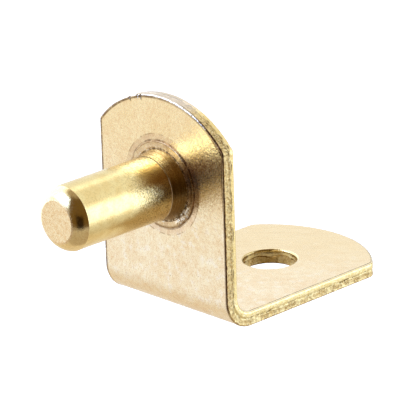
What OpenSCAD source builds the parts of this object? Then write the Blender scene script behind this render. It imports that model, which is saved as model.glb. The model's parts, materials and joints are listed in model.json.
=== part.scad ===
// Angled shelf support: a stamped and bent steel bracket with a headed pin
// riveted through its upright leg. The pin plugs into a 5 mm hole in the side
// of a cabinet, and the shelf lies on the foot.
//
// Millimetres. +Z is up, +Y points out of the cabinet side along the foot,
// and X runs across the strip. The origin is on the pin's axis, in the plane
// of the leg's back face, which is the face that lies against the cabinet.

/* [Bracket] */
// Width of the strip that the leg and the foot are cut from
strip_w = 13.2; // [11:0.1:20]
// Thickness of the sheet
sheet_t = 1.2; // [0.8:0.05:2]
// Height of the leg, from the foot's underside to the top of its round end
leg_h = 17.3; // [16:0.1:26]
// Length of the foot, from the leg's back face to the tip of its round end
foot_l = 19.0; // [16:0.1:30]
// Radius on the inside of the bend
bend_r = 1.35; // [0.6:0.05:2.5]
// How far each round end rises above its two corners
end_rise = 3.05; // [1:0.05:5]
// Radius rolled into the edges of the upper and inner faces by the cut
roll_r = 0.2; // [0.1:0.05:0.35]
// Radius left on the edges of the back face and the underside
burr_r = 0.08; // [0.02:0.01:0.1]

/* [Screw hole] */
// Diameter of the screw hole in the foot
screw_d = 4.2; // [3:0.1:5.5]
// Distance of the screw hole from the leg's back face
screw_y = 11.3; // [8:0.1:13]
// Radius rolled into the upper rim of the screw hole
screw_roll_r = 0.18; // [0.05:0.01:0.3]

/* [Pin] */
// Diameter of the pin, for a 5 mm shelf hole
pin_d = 5; // [4:0.05:6.5]
// Length of the pin, from the leg's back face to its tip
pin_l = 10.7; // [7:0.1:16]
// Height of the pin's axis above the foot's underside
pin_h = 10.4; // [8.5:0.1:12]
// Radius of the rounded rim at the tip
tip_r = 0.95; // [0.3:0.05:1.8]
// Diameter of the flat head on the inside of the leg
head_d = 7.4; // [6:0.1:9]
// Height of the head above the inside of the leg
head_h = 0.3; // [0.2:0.05:0.8]
// Radius on the rim of the head
head_edge_r = 0.1; // [0.02:0.01:0.15]
// Diameter of the collar that the riveting leaves against the back face
collar_d = 6.8; // [5.8:0.1:8]
// Height of the collar above the back face
collar_h = 0.08; // [0.05:0.01:0.3]
// Diameter of the pin inside the sheet
neck_d = 4; // [3:0.1:4.8]

/* [Fits] */
// Gap all round between the pin's neck and its hole in the leg
neck_gap = 0.02; // [0.01:0.01:0.1]

/* [Hidden] */
$fn = 96;
// Radius on the outside of the bend
bend_out = bend_r + sheet_t;
// Radius of the round ends, from their width and rise
end_r = (pow(strip_w / 2, 2) + pow(end_rise, 2)) / (2 * end_rise);
// How far a cutting tool runs past the face that it cuts
overrun = 1;

// Section of cut sheet, w wide: underside on the X axis, with the small burr
// radius there and the larger rolled radius on the upper corners.
module sheet_section(w) {
    burr_x = w / 2 - burr_r;
    roll_x = w / 2 - roll_r;
    translate([-roll_x, 0]) square([2 * roll_x, sheet_t]);
    translate([-burr_x, 0]) square([2 * burr_x, sheet_t - roll_r]);
    translate([-w / 2, burr_r]) square([w, sheet_t - roll_r - burr_r]);
    for (side = [-1, 1]) {
        translate([side * burr_x, burr_r]) circle(r = burr_r);
        translate([side * roll_x, sheet_t - roll_r]) circle(r = roll_r);
    }
}

// What a round end keeps of a flat stretch of strip lying along +Y on the XY
// plane: a disc with the sheet's own edge, and everything behind its centre.
module round_end(l) {
    disc_y = l - end_r;
    translate([0, disc_y, 0])
        rotate_extrude()
            intersection() {
                sheet_section(2 * end_r);
                square([end_r, sheet_t]);
            }
    translate([-strip_w, -strip_w, -overrun])
        cube([2 * strip_w, disc_y + strip_w, sheet_t + 2 * overrun]);
}

// Flat stretch of strip on the XY plane, from the end of the bend to its
// round end at y = l.
module flat_strip(l) {
    intersection() {
        translate([0, l, 0])
            rotate([90, 0, 0])
                linear_extrude(l - bend_out)
                    sheet_section(strip_w);
        round_end(l);
    }
}

// Quarter turn of strip that joins the leg to the foot.
module bend() {
    translate([0, bend_out, bend_out])
        rotate([-90, 0, 0])
            rotate([0, 90, 0])
                rotate_extrude(angle = 90)
                    translate([bend_out, 0])
                        rotate(90)
                            sheet_section(strip_w);
}

// Screw hole with the rolled rim that the punch leaves on the upper face.
module screw_hole() {
    hole_r = screw_d / 2;
    rim_z = sheet_t - screw_roll_r;
    translate([0, 0, -overrun])
        cylinder(r = hole_r, h = sheet_t + 2 * overrun);
    rotate_extrude()
        difference() {
            translate([hole_r / 2, rim_z])
                square([hole_r / 2 + screw_roll_r, screw_roll_r + overrun]);
            translate([hole_r + screw_roll_r, rim_z])
                circle(r = screw_roll_r);
        }
}

module bracket() {
    color("#ecd49a")
        translate([0, 0, -pin_h])
            difference() {
                union() {
                    flat_strip(foot_l);
                    bend();
                    mirror([0, 0, 1]) rotate([-90, 0, 0]) flat_strip(leg_h);
                }
                translate([0, screw_y, 0]) screw_hole();
                translate([0, -overrun, pin_h])
                    rotate([-90, 0, 0])
                        cylinder(r = neck_d / 2 + neck_gap, h = sheet_t + 2 * overrun);
            }
}

// Half section of the pin: X is the radius, and Y runs from the leg's back
// face (zero) towards the tip.
module pin_section() {
    pin_r = pin_d / 2;
    head_r = head_d / 2;
    head_y = -sheet_t - head_h;
    // shank with its rounded tip
    square([pin_r, pin_l - tip_r]);
    square([pin_r - tip_r, pin_l]);
    translate([pin_r - tip_r, pin_l - tip_r]) circle(r = tip_r);
    // collar against the back face
    square([collar_d / 2 - collar_h, collar_h]);
    intersection() {
        translate([collar_d / 2 - collar_h, 0]) circle(r = collar_h);
        square([collar_d, collar_h]);
    }
    // neck through the sheet
    translate([0, head_y]) square([neck_d / 2, head_h + sheet_t + collar_h]);
    // head on the inside of the leg
    translate([0, head_y]) square([head_r - head_edge_r, head_h]);
    translate([0, head_y + head_edge_r]) square([head_r, head_h - head_edge_r]);
    translate([head_r - head_edge_r, head_y + head_edge_r]) circle(r = head_edge_r);
}

module pin() {
    color("#e0c671")
        rotate([90, 0, 0])
            rotate_extrude()
                pin_section();
}

bracket();
pin();
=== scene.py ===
import json
import math

import bmesh
import bpy
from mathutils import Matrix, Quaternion, Vector

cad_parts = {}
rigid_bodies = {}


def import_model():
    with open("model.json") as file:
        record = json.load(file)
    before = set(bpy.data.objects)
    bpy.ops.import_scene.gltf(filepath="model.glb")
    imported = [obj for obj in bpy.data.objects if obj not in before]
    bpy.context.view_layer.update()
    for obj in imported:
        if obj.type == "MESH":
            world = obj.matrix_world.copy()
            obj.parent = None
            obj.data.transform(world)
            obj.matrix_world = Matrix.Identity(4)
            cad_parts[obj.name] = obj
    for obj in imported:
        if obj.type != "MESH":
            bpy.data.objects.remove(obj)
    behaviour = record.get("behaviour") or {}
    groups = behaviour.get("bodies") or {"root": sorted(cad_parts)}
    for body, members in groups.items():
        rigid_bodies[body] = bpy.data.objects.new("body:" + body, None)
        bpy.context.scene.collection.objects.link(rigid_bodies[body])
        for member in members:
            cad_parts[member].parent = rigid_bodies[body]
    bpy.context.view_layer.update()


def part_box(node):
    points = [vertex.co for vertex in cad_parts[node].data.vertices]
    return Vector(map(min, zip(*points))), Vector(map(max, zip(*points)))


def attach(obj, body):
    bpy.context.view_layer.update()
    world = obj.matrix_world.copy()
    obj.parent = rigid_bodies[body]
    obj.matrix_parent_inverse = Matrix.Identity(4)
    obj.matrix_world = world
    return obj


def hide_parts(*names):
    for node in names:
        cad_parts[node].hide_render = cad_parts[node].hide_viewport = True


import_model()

# ---------------------------------------------------------------------------
# Bracket. A strip of 1.2 mm mild steel, blanked with two round ends, punched
# for the screw and for the pin, bent square and barrel plated with brass.
# The flat blank is made first, face up, and is then bent as the press does.
# ---------------------------------------------------------------------------
mm = 0.001
bracket_low, bracket_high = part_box("bracket")
strip_w = bracket_high[0] - bracket_low[0]
foot_l = bracket_high[1]
leg_top = bracket_high[2]
underside = bracket_low[2]
sheet_t = 1.2 * mm
bend_in = 1.35 * mm  # radius on the inside of the bend
end_rise = 3.05 * mm  # how far each round end rises above its corners
leg_corner_soft = 0.25 * mm  # softening where a round end meets the side
foot_corner_soft = 0.45 * mm
roll_r = 0.2 * mm  # edge rolled over by the punch, on the inner face
burr_r = 0.14 * mm  # rounded lip left on the back face
grain_step = 0.085 * mm  # spacing of the cut edge's columns
screw_d = 4.2 * mm
screw_y = 11.3 * mm  # from the back face
screw_roll_r = 0.18 * mm
neck_hole_d = 4.04 * mm
back_recess = 0.03 * mm  # the back face inside the slight lip that the cut leaves
round_r = 3.92 * mm  # faint round that the riveting tool presses in the back face
round_ramp = 0.3 * mm
round_depth = 0.014 * mm  # below the recessed face
press_line = 0.025 * mm  # height of the lines that the bending tool leaves
nick_r = 0.15 * mm  # the nicks in the back edge of the leg's round end
nick_out = 0.03 * mm  # how far the broad end of a nick reaches past the edge
edge_rows = 12  # of the cut edge, over the sheet's thickness
# a side is subdivided twice, into columns about as wide as the grain step: 144 on
# the leg and on the foot, and 36 in the bend
side_cuts, bend_cuts = 11, 5

half_w = strip_w / 2
half_t = sheet_t / 2
bend_out = bend_in + sheet_t
end_r = (half_w**2 + end_rise**2) / (2 * end_rise)
bend_l = math.pi / 2 * (bend_in + half_t)  # length of strip that the bend takes
leg_l = leg_top - underside - bend_out  # straight part of the leg
foot_flat_l = foot_l - bend_out  # straight part of the foot


def pick(kind, test):
    """Selects, in the piece that is open, only what passes the test: a face by
    its centre and normal, an edge by its centre and direction, a corner by its place."""
    bpy.ops.mesh.select_mode(type="VERT")
    bpy.ops.mesh.select_all(action="DESELECT")
    bpy.ops.mesh.select_mode(type=kind)
    mesh = bmesh.from_edit_mesh(bpy.context.object.data)
    if kind == "FACE":
        for face in mesh.faces:
            face.select_set(test(face.calc_center_median(), face.normal))
    elif kind == "EDGE":
        for edge in mesh.edges:
            a, b = (corner.co for corner in edge.verts)
            edge.select_set(test((a + b) / 2, (b - a).normalized()))
    else:
        for corner in mesh.verts:
            corner.select_set(test(corner.co))
    bmesh.update_edit_mesh(bpy.context.object.data)


def near(a, b):
    return abs(a - b) < 0.002 * mm


def only(piece):
    """Selects this piece alone, and makes it the one that operators work on."""
    bpy.ops.object.select_all(action="DESELECT")
    piece.select_set(True)
    bpy.context.view_layer.objects.active = piece


def end_cap(tip_y, way):
    """One round end of the blank: the part of a disc beyond its two corners."""
    bpy.ops.mesh.primitive_circle_add(
        vertices=int(math.tau * end_r / grain_step / 4) * 4,
        radius=end_r,
        fill_type="NGON",
        location=(0, tip_y - way * end_r, 0),
    )
    for place, out in (
        ((half_w, 0, 0), (1, 0, 0)),
        ((-half_w, 0, 0), (-1, 0, 0)),
        ((0, tip_y - way * end_rise, 0), (0, -way, 0)),
    ):
        bpy.ops.mesh.select_linked()
        bpy.ops.mesh.bisect(
            plane_co=place, plane_no=out, clear_outer=True, threshold=1e-7
        )


def slide(x=0, y=0, z=0):
    return {"value": (x, y, z)}


def closed_up(piece):
    """Merges what lies together, turns every face outward and leaves edit mode."""
    bpy.ops.mesh.select_mode(type="VERT")
    bpy.ops.mesh.select_all(action="SELECT")
    bpy.ops.mesh.remove_doubles(threshold=1e-6)
    bpy.ops.mesh.normals_make_consistent(inside=False)
    bpy.ops.object.mode_set(mode="OBJECT")
    return piece


def finish_with(piece, kind, **settings):
    """Adds one modifier to the piece and applies it."""
    only(piece)
    change = piece.modifiers.new(kind.title(), kind)
    for key, value in settings.items():
        setattr(change, key, value)
    bpy.ops.object.modifier_apply(modifier=change.name)


# The outline, flat on the XY plane: the leg runs to -Y and the foot to +Y,
# and the bend takes the strip from y = 0 to bend_l. Its sides are cut finely,
# for the grain of the cut edge, and its two ends meet them at softened corners.
leg_tip = -leg_l
foot_tip = bend_l + foot_flat_l
leg_corner = leg_tip + end_rise
foot_corner = foot_tip - end_rise
bpy.ops.object.select_all(action="DESELECT")
bpy.ops.mesh.primitive_plane_add(size=strip_w)
bracket = bpy.context.object
bracket.name = bracket.data.name = "bracket_plated"
bpy.ops.object.mode_set(mode="EDIT")
bpy.ops.mesh.delete(type="VERT")
end_cap(leg_tip, -1)
end_cap(foot_tip, 1)


def crosswise(run):
    """Whether an edge runs straight across the strip."""
    return abs(run.x) > 0.999


def across_at(*places):
    """A test for the edges that run straight across the strip at these places."""
    return lambda at, run: crosswise(run) and any(near(at.y, y) for y in places)


pick("EDGE", across_at(leg_corner))
for length in (-leg_corner, bend_l):
    bpy.ops.mesh.extrude_region_move(TRANSFORM_OT_translate=slide(y=length))
pick("EDGE", across_at(bend_l, foot_corner))
bpy.ops.mesh.edge_face_add()
pick("EDGE", across_at(leg_corner, foot_corner))
bpy.ops.mesh.dissolve_edges(use_verts=False)
for start, end, cuts in (
    (leg_corner, 0, side_cuts),
    (0, bend_l, bend_cuts),
    (bend_l, foot_corner, side_cuts),
):
    for _ in range(2):
        pick("EDGE", lambda at, run: near(abs(at.x), half_w) and start < at.y < end)
        bpy.ops.mesh.subdivide(number_cuts=cuts)
# only the bend needs edges across the strip
pick("EDGE", lambda at, run: crosswise(run) and not -1e-7 < at.y < bend_l + 1e-7)
bpy.ops.mesh.dissolve_edges(use_verts=False)
for corner_y, soft, repeat in (
    (leg_corner, leg_corner_soft, 6),
    (foot_corner, foot_corner_soft, 14),
):
    pick("VERT", lambda at: math.hypot(abs(at.x) - half_w, at.y - corner_y) < soft)
    bpy.ops.mesh.vertices_smooth(factor=0.5, repeat=repeat)

# Thickness: up the cut edge row by row, then over the rolled edge of the upper
# face and the small burr edge of the lower one.
bpy.ops.mesh.select_mode(type="FACE")
bpy.ops.mesh.select_all(action="SELECT")
bpy.ops.transform.translate(value=(0, 0, burr_r - half_t))
row = (sheet_t - roll_r - burr_r) / edge_rows
for _ in range(edge_rows):
    bpy.ops.mesh.extrude_region_move(TRANSFORM_OT_translate=slide(z=row))
closed_up(bracket)
bpy.ops.object.mode_set(mode="EDIT")


def round_over(radius, steps):
    """Rounds the edge of the selected flat face: each step goes in and out by one
    piece of a quarter circle."""
    for step in range(steps):
        a, b = (math.pi / 2 * (step + n) / steps for n in (0, 1))
        bpy.ops.mesh.inset(
            thickness=radius * (math.cos(a) - math.cos(b)),
            depth=radius * (math.sin(b) - math.sin(a)),
            use_even_offset=True,
        )


pick("FACE", lambda at, out: out.z > 0.9 and at.z > 0)
round_over(roll_r, 6)
bpy.ops.mesh.inset(thickness=0.08 * mm, depth=0)
pick("FACE", lambda at, out: out.z < -0.9 and at.z < 0)
round_over(burr_r, 4)
# inside the burr the back face drops to its recess, a share of it at a time
for width, share in ((0.04, 0.3), (0.05, 0.5), (0.05, 0.2), (0.06, 0)):
    bpy.ops.mesh.inset(thickness=width * mm, depth=-share * back_recess)

# Three fine lines across the inside of the bend, where the tool pressed.
bend_rows = (bend_cuts + 1) ** 2
for share, way in ((0.56, -1), (0.62, 0.6), (0.74, -0.8)):
    pick(
        "EDGE",
        lambda at, run: crosswise(run)
        and near(at.z, half_t)
        and abs(at.y / bend_l - share) < 0.5 / bend_rows,
    )
    bpy.ops.transform.translate(value=(0, 0, way * press_line))

closed_up(bracket)


def lathe(name, outline, turns):
    """A solid turned about the Y axis, in so many steps, from a chain of (radius, y)
    points."""
    bpy.ops.object.select_all(action="DESELECT")
    bpy.ops.mesh.primitive_plane_add(size=mm)
    solid = bpy.context.object
    solid.name = solid.data.name = name
    bpy.ops.object.mode_set(mode="EDIT")
    bpy.ops.mesh.merge(type="CENTER")
    here = Vector((0, 0))
    for number, there in enumerate(outline):
        move = Vector(there) - here
        if number == 0:
            bpy.ops.transform.translate(value=(move.x, move.y, 0))
        else:
            bpy.ops.mesh.extrude_vertices_move(
                TRANSFORM_OT_translate=slide(move.x, move.y)
            )
        here = Vector(there)
    bpy.ops.mesh.select_all(action="SELECT")
    bpy.ops.mesh.spin(steps=turns, angle=math.tau, center=(0, 0, 0), axis=(0, 1, 0))
    return closed_up(solid)


def arc(centre, radius, start, end, steps):
    """Points on an arc of the outline, from one angle to another in degrees."""
    turn = [math.radians(start + (end - start) * n / steps) for n in range(steps + 1)]
    return [
        (centre[0] + radius * math.cos(a), centre[1] + radius * math.sin(a))
        for a in turn
    ]


# Punches, turned about Y, stood upright where they pass the flat blank and
# joined. The one for the neck also presses the faint round into the back face.
rim_y = half_t - screw_roll_r
over = mm  # how far a punch reaches past the sheet
screw_punch = lathe(
    "screw_punch",
    [(0, -half_t - over), (screw_d / 2, -half_t - over)]
    + [(screw_d / 2, rim_y * n / 3) for n in (-2, -1, 0, 1, 2)]
    + arc((screw_d / 2 + screw_roll_r, rim_y), screw_roll_r, 180, 90, 6)
    + [(screw_d / 2 + screw_roll_r, half_t + over), (0, half_t + over)],
    turns=128,
)
pressed = back_recess + round_depth
ramp_out = 0.02 * mm  # the pressed round's ramp starts this far outside the sheet
neck_punch = lathe(
    "neck_punch",
    [
        (0, -half_t - over),
        (round_r + round_ramp, -half_t - over),
        (round_r + round_ramp, -half_t - ramp_out),
        (round_r, pressed - half_t),
        (neck_hole_d / 2, pressed - half_t),
        (neck_hole_d / 2, half_t + over),
        (0, half_t + over),
    ],
    turns=160,
)
pin_y = underside + bend_out  # the pin's axis, on the blank
for punch, at_y in (
    (screw_punch, bend_l + screw_y - bend_out),
    (neck_punch, pin_y),
):
    only(punch)
    punch.rotation_euler.x = math.pi / 2
    punch.location.y = at_y
    bpy.ops.object.transform_apply(location=True, rotation=True, scale=True)
screw_punch.select_set(True)
bpy.ops.object.join()

# Three small nicks that the die left in the back edge of the leg's round end:
# each a thin pyramid that lies across the edge and points at the arc's centre.
for nick_x, nick_l in ((-2.1, 0.5), (-2.45, 0.34), (-3.3, 0.4)):
    arc_at = math.asin(nick_x * mm / end_r)
    edge_y = leg_tip + end_r - end_r * math.cos(arc_at)
    bpy.ops.mesh.primitive_cone_add(
        vertices=4,
        radius1=nick_r,
        radius2=0.004 * mm,
        depth=nick_l * mm,
        location=(
            nick_x * mm * (1 - nick_l * mm / end_r),
            edge_y + nick_l / 2 * mm - nick_out,
            back_recess - half_t,
        ),
        rotation=(-math.pi / 2, 0, arc_at),
    )
    bpy.ops.object.transform_apply(location=True, rotation=True, scale=True)
    neck_punch.select_set(True)
    bpy.context.view_layer.objects.active = neck_punch
    bpy.ops.object.join()
finish_with(bracket, "BOOLEAN", object=neck_punch, operation="DIFFERENCE", solver="EXACT")
bpy.data.objects.remove(neck_punch)


def ramp(value, low, high):
    """How far the value has come from one limit to the other, from 0 to 1."""
    return min(max((value - low) / (high - low), 0), 1)


# How deep each point lies below the inner face, in millimetres, and whether
# each face is on a cut edge: both are kept as the strip is bent.
depths = [(half_t - corner.co.z) / mm for corner in bracket.data.vertices]
steepness = [ramp(abs(face.normal.z), 0.96, 0.86) for face in bracket.data.polygons]
for name, domain, values in (
    ("sheet_depth", "POINT", depths),
    ("cut_edge", "FACE", steepness),
):
    layer = bracket.data.attributes.new(name, "FLOAT", domain)
    layer.data.foreach_set("value", values)

# The torn part of the cut edge, from 0.5 to 1.0 mm below the inner face, is
# pitted: small pits in broad ones, by size and depth in millimetres.
torn = bracket.vertex_groups.new(name="torn")
for corner, depth in enumerate(depths):
    amount = ramp(depth, 0.48, 0.6) * ramp(depth, 1.04, 0.99)
    if amount > 0:
        torn.add([corner], amount, "REPLACE")
for size, strength in ((0.14, 0.05), (0.5, 0.03)):
    grain = bpy.data.textures.new("torn_grain", "CLOUDS")
    grain.noise_scale = size * mm
    grain.noise_depth = 1
    finish_with(
        bracket,
        "DISPLACE",
        texture=grain,
        texture_coords="LOCAL",
        vertex_group="torn",
        mid_level=1,
        strength=strength * mm,
    )

# Stood on its foot end and bent square over the bend line.
only(bracket)
bracket.rotation_euler.x = -math.pi / 2
bpy.ops.object.transform_apply(location=True, rotation=True, scale=True)
blank_l = foot_tip - leg_tip
finish_with(
    bracket,
    "SIMPLE_DEFORM",
    deform_method="BEND",
    deform_axis="X",
    angle=math.pi / 2,
    limits=(foot_flat_l / blank_l, (foot_flat_l + bend_l) / blank_l),
)
bracket.location = (0, half_t, underside + bend_out)
bpy.ops.object.transform_apply(location=True, rotation=True, scale=True)
bpy.ops.object.shade_smooth_by_angle(angle=math.radians(40))
finish_with(bracket, "WEIGHTED_NORMAL", weight=60, keep_sharp=True)


def shade(hex_colour):
    """An sRGB hex colour as the linear one that nodes take, with an alpha of 1."""
    parts = [int(hex_colour[n : n + 2], 16) / 255 for n in (1, 3, 5)]
    linear = [c / 12.92 if c <= 0.04045 else ((c + 0.055) / 1.055) ** 2.4 for c in parts]
    return linear + [1]


def cleared(owner):
    """The node tree of a material or a world, with nothing in it."""
    owner.use_nodes = True
    owner.node_tree.nodes.clear()
    return owner.node_tree


def add(kind, inputs=None, **settings):
    """Adds one node, with its settings, to the tree in hand. An input is a value, an
    output, or a node, which gives the first output that it has in use."""
    node = tree.nodes.new("ShaderNode" + kind)
    for key, value in settings.items():
        setattr(node, key, value)
    for key, value in (inputs or {}).items():
        if isinstance(value, bpy.types.Node):
            value = next(output for output in value.outputs if output.enabled)
        if isinstance(value, bpy.types.NodeSocket):
            tree.links.new(value, node.inputs[key])
        else:
            node.inputs[key].default_value = value
    return node


def mask(*parts):
    """How strongly something shows: the product of its parts. A part is a number, a
    node or an output, or (node, low, high), a smooth rise between two limits, or a
    fall where the first is the higher; two strengths may follow, which it then runs
    between."""
    amount = None
    for part in parts:
        if isinstance(part, tuple):
            value, low, high, *ends = part
            start, end = ends or (0, 1)
            limits = {"From Min": low, "From Max": high, "To Min": start, "To Max": end}
            limits["Value"] = value
            part = add("MapRange", limits, interpolation_type="SMOOTHSTEP")
        if amount is not None:
            part = add("Math", {0: amount, 1: part}, operation="MULTIPLY")
        amount = part
    return amount


def between(value, low, high, soft):
    """Two parts of a mask: nothing outside the two limits, with soft borders."""
    return (value, low - soft, low), (value, high + soft, high)


def layered(colour, *coats):
    """A colour with coats laid over it in turn: each is a colour, then its mask's parts."""
    for over, *parts in coats:
        over = shade(over) if isinstance(over, str) else over
        # 6 and 7 are the two colours of a Mix node
        colour = add("Mix", {"Factor": mask(*parts), 6: colour, 7: over}, data_type="RGBA")
    return colour


# Brass plate over mild steel: pale and satin on the rolled faces, with the
# fine speckle of barrel plating; yellower and brighter where the punch has
# burnished the cut edge; grained where the steel tore. Places are given in
# millimetres. A pattern's scale is one over the size of its marks, or, where
# they are drawn out, a Mapping node has their size along each axis. Real grit is
# finer than 0.1 mm, and is drawn as coarse as that to show.
finish = bpy.data.materials.new("brass_plated_mild_steel")
tree = cleared(finish)
place = add("TexCoord").outputs["Object"]
place = add("Mapping", {"Vector": place, "Scale": (1 / mm, 1 / mm, 1 / mm)})
sideways, reach, height = add("SeparateXYZ", {0: place}).outputs
down = add("Attribute", attribute_name="sheet_depth").outputs["Fac"]
is_edge = add("Attribute", attribute_name="cut_edge").outputs["Fac"]
top_z = leg_top / mm
leg_corner_z = (leg_top - end_rise) / mm  # where the leg's round end meets its sides
foot_z = (underside + sheet_t) / mm  # the foot's upper face
end_y = foot_l / mm
foot_corner_y = (foot_l - end_rise) / mm
back_at = sheet_t / mm  # how far down the back face lies
on_foot = mask((height, foot_z + 1.2, foot_z + 0.2))
off_foot = height, foot_z + 0.2, foot_z + 1.2

# the rolled faces: deeper gold at the top of the leg and paler below and on the foot, with
# paler blotches low on the leg: painted shade above and painted light below
mottle = add("TexNoise", {"Vector": place, "Scale": 1 / 2.86})
blotch = add("TexNoise", {"Vector": place, "Scale": 1 / 0.77, "Roughness": 0.6})
speckle = {"Vector": place, "Scale": 1 / 0.217, "Detail": 3.0, "Roughness": 0.7}
speckle = add("TexNoise", speckle)
grit = add("TexNoise", {"Vector": place, "Scale": 1 / 0.111, "Detail": 1.0})
spots = add("TexVoronoi", {"Vector": place, "Scale": 1 / 0.625}, feature="F1").outputs
chance = add("SeparateColor", {0: spots["Color"]})
top_gold_painted_shade = layered(shade("#f4daa8"), ("#f8e2b4", (mottle, 0.35, 0.65)))
low_gold_painted_light = layered(shade("#f9e7c6"), ("#fdf0d3", (mottle, 0.35, 0.65)))
face = layered(
    top_gold_painted_shade,
    (low_gold_painted_light, (height, top_z - 1.9, foot_z + 2.2)),
    ("#ecc898", (blotch, 0.46, 0.66, 0, 0.25)),
    ("#fff8ea", (blotch, 0.46, 0.34, 0, 0.6), (height, 0, -4)),
    ("#e8bc8c", (speckle, 0.5, 0.68, 0, 0.4)),
    ("#fff7d4", (speckle, 0.46, 0.34, 0, 0.35)),
    ("#d8b07c", (grit, 0.56, 0.68, 0, 0.4)),
    ("#fff4c8", (grit, 0.42, 0.32, 0, 0.35)),
    ("#8f7850", (spots["Distance"], 0.1, 0.05), (chance, 0.62, 0.8), 0.6),
)
# the foot is yellower towards its end, with faint lines of the polishing belt
# at half a right angle to it
outward = add("Math", {0: reach, 1: sideways}, operation="SUBTRACT")
outward = outward, end_y - 17, end_y - 3
belt = {"Vector": place, "Rotation": (0, 0, math.radians(45)), "Scale": (3.2, 0.22, 1.0)}
belt = add("Mapping", belt, vector_type="TEXTURE")
belt = add("TexNoise", {"Vector": belt, "Scale": 1.0, "Detail": 3.0, "Roughness": 0.6})
face = layered(
    face,
    ("#f4dfb2", on_foot, (*outward, 0.1, 0.8)),
    ("#dcbd8c", on_foot, (belt, 0.5, 0.66, 0, 0.2)),
)


def pin_distance():
    """Distance from the pin's axis in millimetres."""
    flat = add("VectorMath", {0: place, 1: (1, 0, 1)}, operation="MULTIPLY")
    return add("VectorMath", {0: flat}, operation="LENGTH")


# what the riveting leaves: a dull ring in the back face, with painted shade in the crease
# round the collar and fainter painted shade in one outside it, and on the other side
# painted shade in the crease round the head
radius = pin_distance()
stain_and_shade = {"Vector": place, "Scale": 1 / 0.91, "Detail": 3.0, "Roughness": 0.65}
stain_and_shade = add("TexNoise", stain_and_shade)
at_back = mask((down, back_at - 0.08, back_at - 0.04), (is_edge, 0.5, 0.1))
at_front = mask((down, 0.05, 0.01))
dull_ring = between(radius, 3.3, 3.75, 0.3)
collar_crease_shade = between(radius, 3.3, 3.5, 0.04)
outer_crease_shade = between(radius, round_r / mm - 0.02, round_r / mm + 0.03, 0.04)
head_crease_shade = between(radius, 3.6, 3.83, 0.05)
# a small burr where the leg's round end meets its side is painted in as a dark spot of
# painted shade
corner = {0: place, 1: (half_w / mm - 0.1, 0, leg_corner_z)}
corner = add("VectorMath", corner, operation="DISTANCE")
face = layered(
    face,
    ("#d9b898", at_back, *dull_ring, (stain_and_shade, 0.3, 0.6, 0.2, 0.55)),
    ("#6b5236", at_back, *collar_crease_shade, (stain_and_shade, 0.38, 0.62, 0.2, 0.8)),
    ("#9c7c58", at_back, *outer_crease_shade, (stain_and_shade, 0.45, 0.6, 0.0, 0.6)),
    ("#54432b", at_front, *head_crease_shade, (stain_and_shade, 0.3, 0.6, 0.5, 0.95)),
    ("#5c4630", (corner, 0.34, 0.2, 0, 0.8)),
)

# the cut edge: a burnished band under the inner face, then the torn part, with
# a ragged border between the two
wobble = add("TexNoise", {"Vector": place, "Scale": 1.0, "Detail": 3.0})
wobble = add("Math", {0: wobble, 1: -0.5}, operation="ADD")
border = add("Math", {0: wobble, 1: 0.6, 2: down}, operation="MULTIPLY_ADD")
border = add("Math", {0: on_foot, 1: -0.1, 2: border}, operation="MULTIPLY_ADD")
torn_part = mask((border, 0.42, 0.58))
sheen = add("TexNoise", {"Vector": place, "Scale": 1 / 0.333})
burnished = layered(
    shade("#f5e0a0"),
    ("#fdeeba", (sheen, 0.4, 0.6)),
    ("#e6ca84", (height, foot_z + 1.2, foot_z + 4.2, 0, 0.5)),
)
# the tear is pitted; along the foot it runs in lumps, pale on top with dark
# folds between
grain = {"Vector": place, "Scale": 1 / 0.25, "Detail": 3.0, "Roughness": 0.7}
grain = add("TexNoise", grain)
pits = add("TexNoise", {"Vector": place, "Scale": 1 / 0.154, "Roughness": 0.6})
lumps = add("TexNoise", {"Vector": place, "Scale": 1 / 0.526, "Detail": 1.0})
pitted = (height, leg_corner_z - 1.25, leg_corner_z - 0.25, 0.65, 0.95)
tear = layered(
    shade("#e0c282"),
    ("#f2dca2", (grain, 0.4, 0.62)),
    ("#7d6538", (pits, 0.53, 0.66), pitted, (*off_foot, 0.54, 1.0)),
    ("#fff2c4", (grit, 0.56, 0.68, 0, 0.7)),
    ("#fff0b8", on_foot, (lumps, 0.53, 0.6, 0, 0.7)),
    ("#8a7040", on_foot, *between(lumps, 0.485, 0.505, 0.02), 0.45),
)
smear = add("TexNoise", {"Vector": place, "Scale": 1 / 0.5})
edge = layered(
    burnished,
    (tear, torn_part),
    ("#7a5f2c", *between(border, 0.44, 0.5, 0.05), (smear, 0.45, 0.6, 0.15, 0.9)),
)
# the wall of the screw hole is darker
hole_r, hole_y = screw_d / 2 / mm, screw_y / mm
aside = add("Math", {0: sideways}, operation="ABSOLUTE")
aside = aside, hole_r + 1.1, hole_r + 0.5
in_hole = mask(aside, on_foot, (reach, hole_y + 3.3, hole_y + 2.9))
# drag lines run through the thickness, strongest round the end of the foot,
# with dark patches towards one corner of it
fine_drag = {"Vector": place, "Scale": (0.22, 0.22, 2.5)}
fine_drag = add("Mapping", fine_drag, vector_type="TEXTURE")
fine_drag = add("TexNoise", {"Vector": fine_drag, "Scale": 1.0})
broad_drag = {"Vector": place, "Scale": (1.1, 1.1, 8.0)}
broad_drag = add("Mapping", broad_drag, vector_type="TEXTURE")
broad_drag = add("TexNoise", {"Vector": broad_drag, "Scale": 1.0, "Detail": 1.0})
patches = {"Vector": place, "Scale": (0.7, 0.7, 8.0)}
patches = add("Mapping", patches, vector_type="TEXTURE")
patches = add("TexNoise", {"Vector": patches, "Scale": 1.0, "Detail": 1.0})
at_corner = (reach, foot_corner_y - 0.45, foot_corner_y + 0.05, 0, 0.9)
at_corner = at_corner, (sideways, -0.5, -2.5), *between(down, 0.3, 1.0, 0.15)
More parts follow.
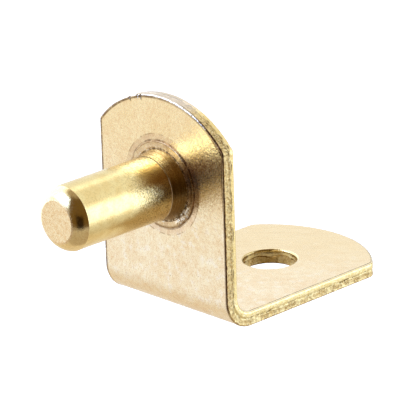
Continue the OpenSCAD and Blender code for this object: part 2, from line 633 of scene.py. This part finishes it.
# the leg's round end is deeply torn low down and pale at its top
strokes = {"Vector": place, "Scale": (0.14, 0.5, 0.14)}
strokes = add("Mapping", strokes, vector_type="TEXTURE")
strokes = add("TexNoise", {"Vector": strokes, "Scale": 1.0, "Roughness": 0.6})
low_end = *between(height, leg_corner_z + 0.25, leg_corner_z + 1.75, 0.4), torn_part
# it has a painted highlight on its lip there; elsewhere ragged painted shade lies along the
# lip, which runs on below the highlight and fills the folds on both sides of it
lip_patches = {"Vector": place, "Scale": 1 / 0.556, "Detail": 3.0, "Roughness": 0.65}
lip_patches = mask((add("TexNoise", lip_patches), 0.36, 0.52, 0.5, 0.95))
lip_shade_patches = mask(lip_patches, (*off_foot, 0.45, 1.0))
lip = down, back_at - 0.16, back_at - 0.12
at_top, below_top = (height, top_z - 1.7, top_z - 1.1), (height, top_z - 1.1, top_z - 1.7)
ragged = add("TexNoise", {"Vector": place, "Scale": 1 / 0.25, "Roughness": 0.6})
ragged = add("Math", {0: ragged, 1: 0.2, 2: down}, operation="MULTIPLY_ADD")
line_at = mask((height, top_z - 0.3, top_z - 1.7, back_at - 0.22, back_at - 0.08))
line = add("Math", {0: down, 1: line_at, 2: 0.06}, operation="COMPARE")
line = line, *between(height, top_z - 2.3, top_z - 0.4, 0.2), (sideways, 0.8, 2.0)
edge = layered(
    edge,
    ("#a88440", in_hole, 0.5),
    ("#5c4524", (fine_drag, 0.5, 0.66), (reach, end_y - 4, end_y - 2, 0, 0.75)),
    ("#6b5430", (broad_drag, 0.52, 0.58), (reach, end_y - 3, end_y - 1.5, 0, 0.6)),
    ("#4a3818", (patches, 0.46, 0.52), *at_corner),
    ("#7a6230", (strokes, 0.5, 0.6), *low_end, 0.6),
    ("#dccfc2", (height, top_z - 0.9, top_z - 0.2, 0, 0.75)),
    # a painted highlight on the lip, and painted shade under and along it
    ("#fffaf0", lip, at_top, lip_patches),
    ("#7a5440", (ragged, back_at - 0.02, back_at + 0.02), below_top, lip_shade_patches),
    ("#5c3c1e", *line, lip_shade_patches),
)
# painted shade in the fold and on the crest of the back lip
fold_shade = is_edge, (down, back_at - 0.045, back_at - 0.025), at_top
crest_shade = (down, back_at - 0.03, back_at - 0.018), (sideways, 1.5, -1.0, 0.45, 0.8)
# two fine lines of painted shade follow the edge where the upper face rolls over, with a
# painted highlight line between them
painted_light_mask = add("TexNoise", {"Vector": place, "Scale": 1 / 0.667})
faint = mask((painted_light_mask, 0.35, 0.55, 0.3, 0.85), (in_hole, 0.5, 0.1))
colour = layered(
    face,
    (edge, is_edge),
    # painted shade along the back lip
    ("#5c3c1e", *fold_shade, lip_shade_patches),
    ("#5c3c1e", *crest_shade, lip_shade_patches),
    ("#fff6e6", *between(down, 0.03, 0.06, 0.015), faint, 0.8),
    ("#86704a", *between(down, 0.008, 0.02, 0.008), faint),
    ("#9a8048", *between(down, 0.08, 0.1, 0.012), faint),
)
face_rough = mask((speckle, 0.3, 0.7, 0.2, 0.34))
edge_rough = mask((torn_part, 0.0, 1.0, 0.2, 0.34), (*lip, 1.0, 0.4))
rough = add("Mix", {"Factor": is_edge, 2: face_rough, 3: edge_rough}, data_type="FLOAT")
relief = {"Vector": place, "Scale": 1 / 0.25, "Detail": 3.0, "Roughness": 0.65}
relief = add("TexNoise", relief)
for part in (
    mask(grit, 0.5),
    mask(belt, on_foot, 0.35),
    mask(lumps, on_foot, is_edge, 1.5),
):
    relief = add("Math", {0: relief, 1: part}, operation="ADD")
deep = {0: mask(torn_part, is_edge), 1: 2.5, 2: 1.0}
deep = add("Math", deep, operation="MULTIPLY_ADD")


def plate(piece, colour, rough, relief):
    """Ends the finish in hand as bare plated metal, and puts it on the piece."""
    bump = add("Bump", {"Height": relief, "Strength": 0.6, "Distance": 0.03 * mm})
    metal = {"Metallic": 1.0, "Base Color": colour, "Roughness": rough, "Normal": bump}
    add("OutputMaterial", {"Surface": add("BsdfPrincipled", metal)})
    piece.data.materials.clear()
    piece.data.materials.append(finish)


plate(bracket, colour, rough, mask(relief, deep))
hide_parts("bracket")
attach(bracket, "root")

# ---------------------------------------------------------------------------
# Pin. Turned and headed from mild steel wire, brass plated with the bracket
# or before it, pushed through the leg and riveted, so that a flat head shows
# on the inside and a collar is squeezed up against the back face.
# ---------------------------------------------------------------------------
pin_low, pin_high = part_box("pin")
pin_r = 2.5 * mm
tip_y = pin_low[1]
tip_face_r = 1.6 * mm
chamfer_l = 0.95 * mm  # the tip's chamfer is slightly bulged
chamfer_turn = 25  # half of what it turns from end to end, in degrees
root_r = 2.53 * mm  # a slight step on the shank, from which it flares to the bracket
root_l = 1.32 * mm
flare_r = 2.78 * mm
head_r = pin_high[0]
head_y = pin_high[1]
head_round = 0.1 * mm
collar_r = 3.4 * mm
collar_h = 0.07 * mm
collar_round = 0.055 * mm
neck_r = 2.0 * mm
shank_l = -tip_y - root_l - chamfer_l  # its even part, from the root to the chamfer
# the chamfer is an arc that meets the shank and the tip's face at blunt angles
chord = Vector((tip_face_r - pin_r, -chamfer_l))
chamfer_lean = math.degrees(math.atan2(-chord.x, -chord.y))
chamfer_round = chord.length / 2 / math.sin(math.radians(chamfer_turn))
chamfer_centre = (
    Vector((pin_r, tip_y + chamfer_l))
    + chord / 2
    + Vector((chord.y, -chord.x)).normalized()
    * (chamfer_round * math.cos(math.radians(chamfer_turn)))
)

# the collar's face is slightly dished: its radii, and the height of the face
# there as a share of the collar's
dished = ((3.26, 0.98), (3.15, 0.9), (3.05, 0.86), (2.95, 0.92), (2.9, 0.8))
dished = [(radius * mm, -share * collar_h) for radius, share in dished]
# from the collar the root flares out, steeply at first, down to its even part
flare = [
    (
        flare_r + (root_r - flare_r) * (1 - (1 - n / 6) ** 1.4),
        -0.03 * mm - (root_l - 0.07 * mm) * n / 6,
    )
    for n in range(7)
]
pin = lathe(
    "pin_plated",
    [(0, head_y), (head_r * 0.5, head_y), (head_r - head_round * 2.5, head_y)]
    + arc((head_r - head_round, head_y - head_round), head_round, 90, 0, 9)
    + [(head_r, sheet_t), (neck_r, sheet_t), (neck_r, pressed), (collar_r, pressed)]
    + arc((collar_r - collar_round, collar_round - collar_h), collar_round, 0, -90, 6)
    + dished
    + [(flare_r + 0.06 * mm, -0.2 * collar_h), (flare_r, -0.3 * collar_h)]
    + flare
    + [
        (root_r + 0.005 * mm, -root_l + 0.015 * mm),
        (root_r, -root_l),
        (pin_r, -root_l - 0.02 * mm),
    ]
    + [(pin_r, -root_l - shank_l * n / 6) for n in (1, 2, 3, 4, 5)]
    + arc(
        chamfer_centre,
        chamfer_round,
        chamfer_turn - chamfer_lean,
        -chamfer_turn - chamfer_lean,
        10,
    )
    + [(0, tip_y)],
    turns=192,
)
bpy.ops.object.shade_smooth_by_angle(angle=math.radians(11))
finish_with(pin, "WEIGHTED_NORMAL", weight=60, keep_sharp=True)

# Brass plate over turned steel: bright and yellow on the shank, speckled near
# the bracket, where the plating is rougher, and satin and pale on the head,
# the collar and the tip's face.
finish = bpy.data.materials.new("brass_plated_turned_steel")
tree = cleared(finish)
place = add("TexCoord").outputs["Object"]
place = add("Mapping", {"Vector": place, "Scale": (1 / mm, 1 / mm, 1 / mm)})
place_x, along, place_z = add("SeparateXYZ", {0: place}).outputs
radius = pin_distance()
tip_end, root_end = tip_y / mm, -root_l / mm
chamfer_at = (tip_y + chamfer_l) / mm
flare_rim, collar_rim, head_rim = flare_r / mm, collar_r / mm, head_r / mm
sheet = sheet_t / mm
near_plate = mask((along, -6.5, -1.8))

# the shank, with a painted reflection, darker, on top of its root, and the pale satin of
# the flat ends
mottle = add("TexNoise", {"Vector": place, "Scale": 1 / 0.77, "Detail": 3.0})
speckle = add("TexNoise", {"Vector": place, "Scale": 1 / 0.167, "Roughness": 0.6})
grit = add("TexNoise", {"Vector": place, "Scale": 1 / 0.091, "Detail": 1.0})
satin = {"Vector": place, "Scale": 1 / 0.217, "Detail": 3.0, "Roughness": 0.7}
satin = add("TexNoise", satin)
flat_end = {0: mask((along, -0.12, -0.06)), 1: mask((along, tip_end + 0.1, tip_end + 0.02))}
flat_end = add("Math", flat_end, operation="MAXIMUM")
root_painted_reflection = (along, -4.4, -2.8), (along, root_end + 0.07, root_end - 0.08)
root_painted_reflection = *root_painted_reflection, *between(place_z, 1.5, 2.1, 0.5)
pale = layered(
    shade("#f8e3b8"),
    ("#efd0a0", (satin, 0.38, 0.62)),
    ("#c8a070", (grit, 0.55, 0.68, 0, 0.45)),
    ("#fff8de", (grit, 0.42, 0.3, 0, 0.35)),
)
colour = layered(
    shade("#ecd494"),
    ("#f2dfa2", (mottle, 0.35, 0.65)),
    ("#a8843c", (speckle, 0.5, 0.64), (near_plate, 0, 1, 0.12, 0.62)),
    ("#6b5326", (grit, 0.56, 0.65), (near_plate, 0, 1, 0.05, 0.6)),
    ("#fffbe0", (grit, 0.43, 0.32, 0, 0.6), near_plate),
    ("#c89e4c", *root_painted_reflection, 0.85),
    (pale, flat_end),
    (pale, (along, chamfer_at + 0.05, chamfer_at - 0.03, 0, 0.35)),
)
# the collar is dull and stained, with painted shade on its rim and in the crease at the
# shank's root, and flecks of painted glint beside that; one place low on it is crumpled,
# with painted highlights and painted shade on it
stain_and_shade = {"Vector": place, "Scale": 1 / 0.625, "Detail": 3.0, "Roughness": 0.65}
stain_and_shade = add("TexNoise", stain_and_shade)
broken = {"Vector": place, "Scale": 1 / 0.286, "Detail": 3.0, "Roughness": 0.7}
broken = add("TexNoise", broken)
on_collar = mask(*between(along, -0.1, 0.04, 0.03))
dull = *between(along, -0.09, 0.04, 0.02), (stain_and_shade, 0.35, 0.6, 0.15, 0.7)
root_crease_shade = between(radius, flare_rim + 0.01, flare_rim + 0.08, 0.02)
glint_flecks = between(radius, flare_rim + 0.06, flare_rim + 0.18, 0.03)
crumpled = *between(place_x, 1.7, 2.7, 0.5), *between(place_z, -2.6, -1.2, 0.4)
crumpled = mask(on_collar, *crumpled)
collar_rim_shade = between(radius, collar_rim - 0.1, collar_rim + 0.02, 0.03)
# the small shoulder where the root ends has painted shade above and a painted highlight
# below
shoulder = mask(*between(along, root_end - 0.04, root_end + 0.03, 0.01))
painted_light_mask = (place_z, 1.4, 0.8, 0, 0.7), (place_z, -2.2, -1.2, 0.3, 1.0)
# the root of the shank has fine turned lines, and painted shade low down
root = mask(*between(along, root_end + 0.02, -0.08, 0.02))
lines = {"Vector": place, "Scale": (4.0, 0.14, 4.0)}
lines = add("Mapping", lines, vector_type="TEXTURE")
lines = add("TexNoise", {"Vector": lines, "Scale": 1.0, "Roughness": 0.6})
# the side of the head has painted shade where it meets the leg, with a line of painted
# shade on its edge
head_side_shade = (radius, head_rim - 0.1, head_rim - 0.04), *between(along, sheet, sheet + 0.2, 0.02)
head_ring_shade = (along, sheet, sheet + 0.1), *between(radius, head_rim - 0.14, head_rim - 0.04, 0.02)
colour = layered(
    colour,
    ("#c2a27c", *dull),
    ("#57401f", on_collar, *root_crease_shade, (broken, 0.42, 0.56, 0.25, 0.9)),
    ("#fff9ea", on_collar, *glint_flecks, (broken, 0.46, 0.38, 0, 0.8)),
    ("#fffdf4", crumpled, (broken, 0.55, 0.42, 0, 0.9)),
    ("#6a5438", crumpled, (broken, 0.55, 0.64, 0, 0.85)),
    ("#7a5a30", shoulder, (place_z, 1.0, 1.6, 0, 0.9)),
    ("#f8e4cc", shoulder, *painted_light_mask),
    ("#9c7a56", on_collar, *collar_rim_shade, (stain_and_shade, 0.35, 0.55, 0.3, 0.85)),
    ("#b08c4c", root, (lines, 0.45, 0.62, 0.25, 0.8)),
    ("#6e5126", root, (place_z, 1.8, 0.8, 0, 0.75)),
    ("#6e5733", *head_side_shade, 0.75),
    ("#5a4526", *head_ring_shade, (stain_and_shade, 0.3, 0.5, 0.5, 0.95)),
)
rough = mask((speckle, 0.3, 0.7, 0.12, 0.22))
for part, more in ((flat_end, 0.1), (shoulder, 0.35)):
    rough = add("Math", {0: part, 1: more, 2: rough}, operation="MULTIPLY_ADD")
relief = {"Vector": place, "Scale": 1 / 0.182, "Detail": 3.0, "Roughness": 0.65}
relief = add("TexNoise", relief)
for part in (mask(lines, root, 0.8), mask(broken, crumpled, 4.0)):
    relief = add("Math", {0: relief, 1: part}, operation="ADD")
deep = add("Math", {0: near_plate, 1: 1.2, 2: 0.4}, operation="MULTIPLY_ADD")
plate(pin, colour, rough, mask(relief, deep))
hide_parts("pin")
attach(pin, "root")

# ---------------------------------------------------------------------------
# Floor. A pale sweep of matt paper, a little below the part, which is held in
# the air by its pin. The camera sees it white, with the part's soft shadow.
# ---------------------------------------------------------------------------
floor_gap = 12 * mm
bpy.ops.object.select_all(action="DESELECT")
bpy.ops.mesh.primitive_plane_add(size=3, location=(0, 0, underside - floor_gap))
floor = bpy.context.object
floor.name = floor.data.name = "floor"
bpy.ops.object.transform_apply(location=True, rotation=True, scale=True)
paper = bpy.data.materials.new("matt_white_paper")
tree = cleared(paper)
matt = add("BsdfDiffuse", {"Color": (0.8, 0.8, 0.8, 1)})
glow = add("Emission", {"Color": (1, 1, 1, 1), "Strength": 0.5})
seen = add("LightPath").outputs["Is Camera Ray"]
lift = add("MixShader", {0: seen, 2: glow})
add("OutputMaterial", {"Surface": add("AddShader", {0: matt, 1: lift})})
floor.data.materials.append(paper)
floor.visible_glossy = False  # the metal mirrors the foot of the tent instead

# ---------------------------------------------------------------------------
# Light. A white tent, drab at its foot and grey overhead, whose open front
# shows the dark brown room. Bright panels stand at the left, beyond the pin,
# at the right, beyond the foot, and high up at the back.
# ---------------------------------------------------------------------------
world = bpy.data.worlds.new("white_tent")
bpy.context.scene.world = world
tree = cleared(world)
axes = add("SeparateXYZ", {0: add("TexCoord").outputs["Generated"]}).outputs
back = add("Math", {0: axes[1], 1: -1.0}, operation="MULTIPLY")
# azimuth 0 is the way the pin points, 90 is +X; both angles are in degrees
azimuth = add("Math", {0: axes[0], 1: back}, operation="ARCTAN2")
azimuth = add("Math", {0: azimuth}, operation="DEGREES")
rise = add("Math", {0: axes[2]}, operation="ARCSINE")
rise = add("Math", {0: rise}, operation="DEGREES")


def panel(left, right, low, high, strength=1.0):
    """One part of the tent: each border is given as its (outer, inner) angle."""
    return mask((azimuth, *left), (azimuth, *right), (rise, *low), (rise, *high), strength)


drab = panel((-60, -10), (165, 120), (-95, -90), (-18, -40))
room = panel((-20, 4), (144, 102), (-36, -16), (84, 66))
darkest = panel((20, 36), (74, 58), (-34, -20), (20, 6))
glare = panel((-64, -50), (0, -14), (16, 32), (62, 50), 8.0)
lamps = glare
for lamp in (
    panel((-128, -112), (-52, -70), (-30, -5), (70, 45), 1.5),
    panel((108, 124), (160, 140), (-26, -4), (37, 19), 1.4),
    panel((-168, -150), (-118, -128), (33, 43), (75, 60), 0.55),
):
    lamps = add("Math", {0: lamps, 1: lamp}, operation="ADD")
# the lamps are a little bluer than the tent, and the brightest one most of all
sky = layered(
    shade("#ffffff"),
    ("#efe2cf", (rise, -26, -48)),
    ("#b3a48e", (rise, 56, 74)),
    ("#c2b4a0", drab),
    ("#6e552c", room),
    ("#2e200f", darkest),
    ("#e4eeff", (lamps, 0.1, 1.2)),
    ("#b8d0ff", (glare, 0.2, 2.0)),
)
strength = add("Math", {0: lamps, 1: 1.0}, operation="ADD")
tent = add("Background", {"Color": sky, "Strength": strength})
white = add("Background", {"Color": (1, 1, 1, 1), "Strength": 1.0})
seen = add("LightPath").outputs["Is Camera Ray"]
add("OutputWorld", {"Surface": add("MixShader", {0: seen, 1: tent, 2: white})})

# ---------------------------------------------------------------------------
# Camera. A long lens from the front right and above, as a small part is shot,
# turned a little about its line of sight.
# ---------------------------------------------------------------------------
aim = Vector((0.689, 4.087, -2.843)) * mm
roll = -1.74  # degrees about the line of sight
lens = bpy.data.cameras.new("camera")
lens.lens = 308
lens.sensor_width = 36
lens.clip_start = 0.01
camera = bpy.data.objects.new("camera", lens)
bpy.context.scene.collection.objects.link(camera)
camera.location = Vector((182.07, -172.55, 89.26)) * mm
towards = (aim - camera.location).to_track_quat("-Z", "Y")
tilt = Quaternion((0, 0, 1), math.radians(roll))
camera.rotation_euler = (towards @ tilt).to_euler()
bpy.context.scene.camera = camera
bpy.context.scene.view_settings.view_transform = "Standard"
